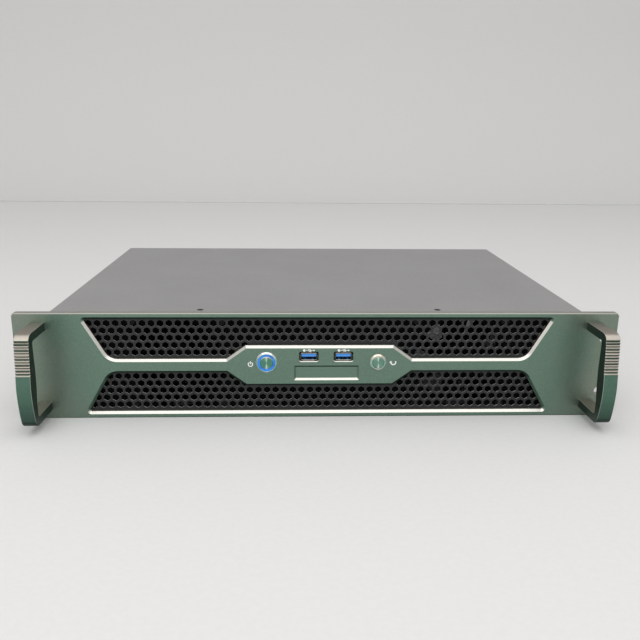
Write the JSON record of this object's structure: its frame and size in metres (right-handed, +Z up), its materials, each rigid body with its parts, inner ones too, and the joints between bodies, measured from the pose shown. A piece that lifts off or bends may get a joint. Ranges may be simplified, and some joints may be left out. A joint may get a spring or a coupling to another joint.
{
  "type": "empty rackmount server case",
  "caption": "Shallow rackmount case with a machined grey front plate, black hex-mesh windows, two grab handles, round power and reset buttons and front data ports, over a plain steel box.",
  "frame": {"origin": "middle of the rack bolt pattern, in the plane where the front plate meets the rack posts", "axes": "+X to the right of someone facing the front, +Y from the front to the rear, +Z up"},
  "size_m": [0.4826, 0.3552, 0.0882],
  "materials": {
    "panel_aluminium": "bead-blasted and anodised, satin",
    "black_mesh": "black powder coat",
    "cover_steel": "matt grey",
    "zinc_steel": "zinc plated, satin",
    "black_steel": "black, satin",
    "stainless": "turned stainless steel",
    "blue_light": "translucent lit ring",
    "blue_plastic": "moulded",
    "nickel_sheet": "nickel plated",
    "board_green": "solder resist",
    "black_plastic": "moulded",
    "brass_studs": "turned",
    "white_ink": "pad-printed marks"
  },
  "bodies": {
    "chassis": {"blank_screws": "zinc_steel", "board_studs": "brass_studs", "chassis_tray": "zinc_steel", "drive_bracket": "zinc_steel", "fan_screws": "black_steel", "front_panel": "panel_aluminium", "front_wall": "black_steel", "handle_screws": "zinc_steel", "left_fan_frame": "black_plastic", "left_handle": "panel_aluminium", "lower_mesh": "black_mesh", "panel_screws": "zinc_steel", "port_board": "board_green", "port_bracket": "black_steel", "port_header": "black_plastic", "port_screws": "zinc_steel", "port_shell_left": "nickel_sheet", "port_shell_right": "nickel_sheet", "port_tongue_left": "blue_plastic", "port_tongue_right": "blue_plastic", "power_nut": "zinc_steel", "power_ring": "blue_light", "power_switch": "stainless", "rear_panel": "zinc_steel", "reset_nut": "zinc_steel", "reset_switch": "stainless", "right_fan_frame": "black_plastic", "right_handle": "panel_aluminium", "slot_blank_1": "zinc_steel", "slot_blank_2": "zinc_steel", "slot_blank_3": "zinc_steel", "slot_blank_4": "zinc_steel", "slot_blank_5": "zinc_steel", "slot_blank_6": "zinc_steel", "slot_blank_7": "zinc_steel", "slot_ledge": "zinc_steel", "thumb_screws": "zinc_steel", "upper_mesh": "black_mesh"},
    "power_button": {"power_button": "stainless"},
    "reset_button": {"reset_button": "stainless"},
    "left_rotor": {"left_fan_rotor": "black_plastic"},
    "right_rotor": {"right_fan_rotor": "black_plastic"},
    "cover": {"top_cover": "cover_steel", "cover_screws": "black_steel"}
  },
  "joints": [
    {"name": "power_push", "type": "slide", "parent": "chassis", "child": "power_button", "axis": [0, 1, 0], "range_m": [0, 0.0015], "stiffness_N_per_m": 400, "springref_m": -0.001},
    {"name": "reset_push", "type": "slide", "parent": "chassis", "child": "reset_button", "axis": [0, 1, 0], "range_m": [0, 0.0012], "stiffness_N_per_m": 400, "springref_m": -0.001},
    {"name": "left_fan_spin", "type": "hinge", "parent": "chassis", "child": "left_rotor", "pos_m": [-0.115, 0.0125, 0], "axis": [0, 1, 0], "continuous": true},
    {"name": "right_fan_spin", "type": "hinge", "parent": "chassis", "child": "right_rotor", "pos_m": [0.115, 0.0125, 0], "axis": [0, 1, 0], "continuous": true},
    {"name": "cover_lift", "type": "slide", "parent": "chassis", "child": "cover", "axis": [0, 0, 1], "range_m": [0, 0.12]}
  ]
}
